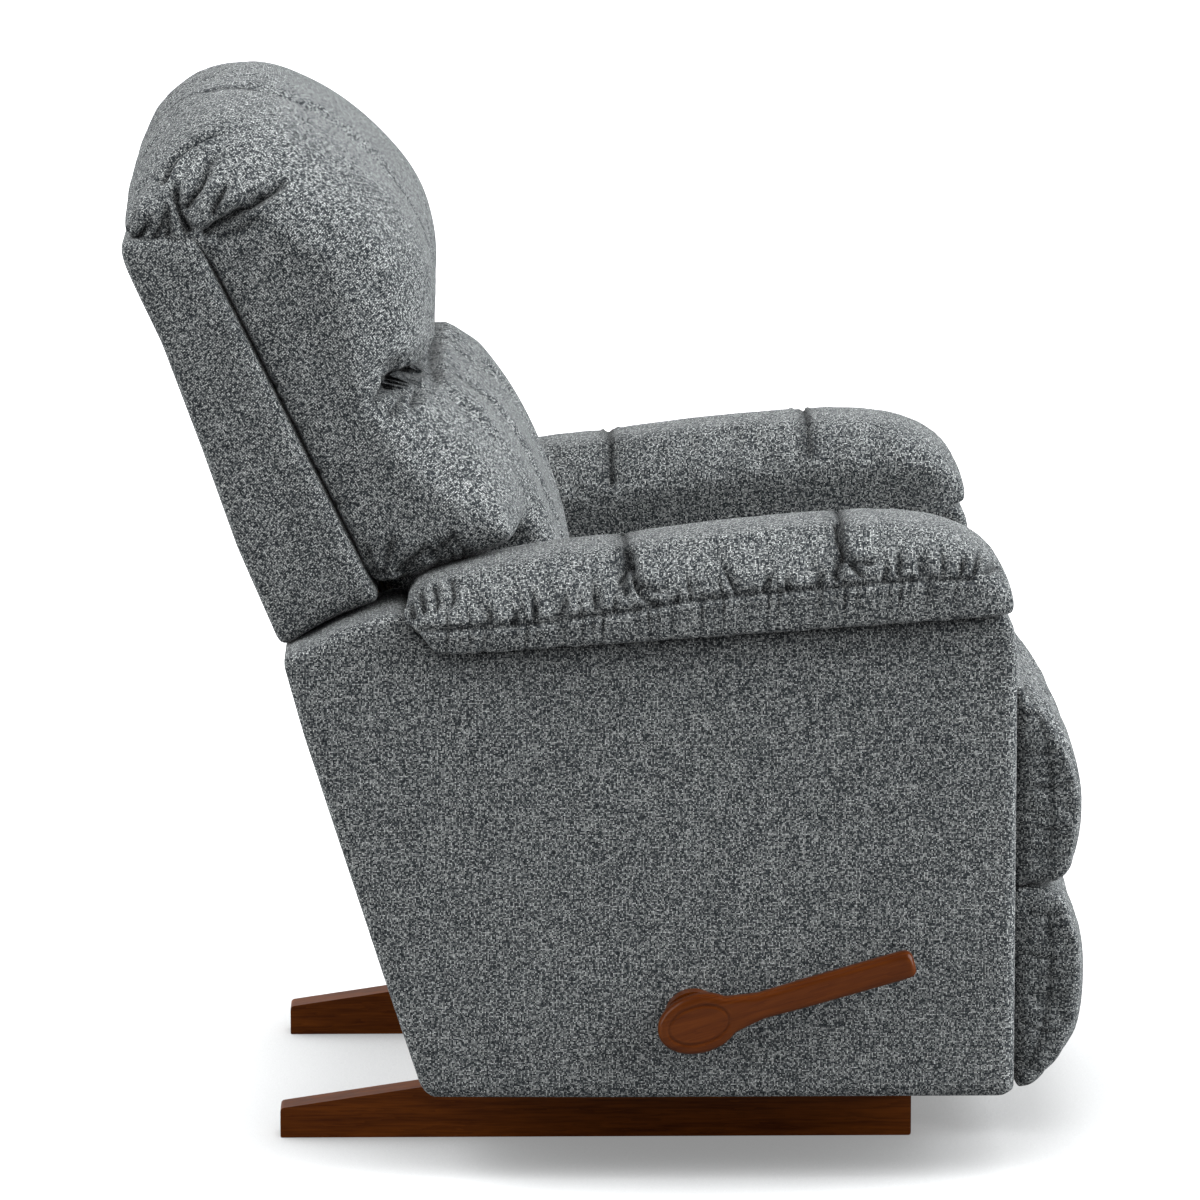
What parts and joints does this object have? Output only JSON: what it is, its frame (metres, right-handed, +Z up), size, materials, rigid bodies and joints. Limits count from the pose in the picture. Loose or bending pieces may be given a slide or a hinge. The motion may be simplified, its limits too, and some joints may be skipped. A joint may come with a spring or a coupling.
{
  "type": "rocking recliner",
  "caption": "Upholstered rocking recliner with pillow arms, channelled back, folding legrest, wooden side lever and a rocker base on two floor rails.",
  "frame": {"origin": "on the floor, midway along and across the chair's overall box", "axes": "+X the way the sitter faces, +Y to the sitter's left, +Z up"},
  "size_m": [0.9861, 0.976, 1.09],
  "materials": {
    "upholstery_tweed": "woven slate blue tweed with pale flecks",
    "rail_wood": "dark brown stained, satin",
    "cam_wood": "plain hardwood",
    "handle_wood": "reddish brown stained, glossy lacquer",
    "frame_timber": "unfinished timber and plywood",
    "webbing": "jute webbing",
    "bushing_nylon": "matt nylon",
    "spring_steel": "dark oiled spring wire",
    "mechanism_steel": "black painted pressed steel"
  },
  "bodies": {
    "base": {"base_rail_right": "rail_wood", "base_rail_left": "rail_wood", "base_cross_rails": "rail_wood", "spring_bracket_lower_right": "mechanism_steel", "spring_bracket_lower_left": "mechanism_steel", "rocker_springs_right": "spring_steel", "rocker_springs_left": "spring_steel"},
    "frame": {"rocker_cam_right": "cam_wood", "rocker_cam_left": "cam_wood", "spring_bracket_upper_right": "mechanism_steel", "spring_bracket_upper_left": "mechanism_steel", "side_plate_right": "mechanism_steel", "side_plate_left": "mechanism_steel", "pivot_studs": "mechanism_steel", "arm_frame_right": "frame_timber", "arm_frame_left": "frame_timber", "arm_body_right": "upholstery_tweed", "arm_body_left": "upholstery_tweed", "arm_pillow_right": "upholstery_tweed", "arm_pillow_left": "upholstery_tweed", "front_stretcher": "frame_timber", "rear_stretcher": "frame_timber", "rear_apron": "upholstery_tweed"},
    "drive": {"drive_shaft": "mechanism_steel", "shaft_bushings": "bushing_nylon", "drive_cranks": "mechanism_steel", "handle_hub": "handle_wood", "lever_handle": "handle_wood"},
    "drive_links": {"drive_links": "mechanism_steel"},
    "lift_links": {"lift_links": "mechanism_steel"},
    "bell_links": {"bell_links": "mechanism_steel"},
    "push_links": {"push_links": "mechanism_steel"},
    "brace_links": {"brace_links": "mechanism_steel"},
    "legrest": {"legrest_brackets": "mechanism_steel", "legrest_board": "frame_timber", "legrest_cross_tube": "mechanism_steel", "legrest_upper_pad": "upholstery_tweed", "legrest_lower_pad": "upholstery_tweed"},
    "swing_rear": {"seat_swing_links_rear": "mechanism_steel"},
    "swing_front": {"seat_swing_links_front": "mechanism_steel"},
    "seat": {"seat_rails": "mechanism_steel", "seat_frame": "frame_timber", "seat_zigzag_springs": "spring_steel", "seat_cushion": "upholstery_tweed"},
    "back": {"back_brackets": "mechanism_steel", "back_frame": "frame_timber", "back_webbing": "webbing", "back_shell": "upholstery_tweed", "back_tail": "upholstery_tweed", "seat_gap_flap": "upholstery_tweed", "lumbar_cushion": "upholstery_tweed", "head_pillow": "upholstery_tweed"}
  },
  "joints": [
    {"name": "rock", "type": "hinge", "parent": "base", "child": "frame", "pos_m": [0.06, 0, 0.19], "axis": [0, -1, 0], "range_deg": [-5, 9], "stiffness_Nm_per_rad": 600, "springref_deg": -2.86, "deforming": ["rocker_springs_right", "rocker_springs_left"]},
    {"name": "back_recline", "type": "hinge", "parent": "frame", "child": "back", "pos_m": [-0.16, 0, 0.315], "axis": [0, -1, 0], "range_deg": [0, 30]},
    {"name": "swing_rear_turn", "type": "hinge", "parent": "frame", "child": "swing_rear", "pos_m": [-0.11, 0, 0.35], "axis": [0, -1, 0], "range_deg": [-37.5, 0]},
    {"name": "seat_slide_turn", "type": "hinge", "parent": "swing_rear", "child": "seat", "pos_m": [-0.14857, 0, 0.39596], "axis": [0, -1, 0], "range_deg": [0, 37.5]},
    {"name": "swing_front_turn", "type": "hinge", "parent": "frame", "child": "swing_front", "pos_m": [0.07, 0, 0.35], "axis": [0, -1, 0], "range_deg": [-37.5, 0]},
    {"name": "handle_turn", "type": "hinge", "parent": "frame", "child": "drive", "pos_m": [0.084, 0, 0.168], "axis": [0, -1, 0], "range_deg": [0, 88.6]},
    {"name": "drive_link_turn", "type": "hinge", "parent": "drive", "child": "drive_links", "pos_m": [0.08992, 0, 0.12642], "axis": [0, -1, 0], "range_deg": [-88.6, 0]},
    {"name": "bell_turn", "type": "hinge", "parent": "frame", "child": "bell_links", "pos_m": [0.2167, 0, 0.3517], "axis": [0, -1, 0], "range_deg": [0, 88.6]},
    {"name": "lift_turn", "type": "hinge", "parent": "frame", "child": "lift_links", "pos_m": [0.14, 0, 0.4], "axis": [0, -1, 0], "range_deg": [0, 70.81]},
    {"name": "push_turn", "type": "hinge", "parent": "lift_links", "child": "push_links", "pos_m": [0.1856, 0, 0.2613], "axis": [0, -1, 0], "range_deg": [-105.21, 0]},
    {"name": "brace_turn", "type": "hinge", "parent": "bell_links", "child": "brace_links", "pos_m": [0.23452, 0, 0.16997], "axis": [0, -1, 0], "range_deg": [-124.31, 0]},
    {"name": "legrest_turn", "type": "hinge", "parent": "push_links", "child": "legrest", "pos_m": [0.392, 0, 0.4], "axis": [0, -1, 0], "range_deg": [0, 124.41]}
  ],
  "couplings": [
    {"joint": "swing_rear_turn", "follows": "back_recline", "ratio": -1.25},
    {"joint": "seat_slide_turn", "follows": "back_recline", "ratio": 1.25},
    {"joint": "swing_front_turn", "follows": "back_recline", "ratio": -1.25},
    {"joint": "drive_link_turn", "follows": "handle_turn", "ratio": -1},
    {"joint": "bell_turn", "follows": "handle_turn", "ratio": 1},
    {"joint": "lift_turn", "follows": "handle_turn", "ratio": 0.7991},
    {"joint": "push_turn", "follows": "handle_turn", "ratio": -1.1874},
    {"joint": "brace_turn", "follows": "handle_turn", "ratio": -1.4029},
    {"joint": "legrest_turn", "follows": "handle_turn", "ratio": 1.4041}
  ]
}
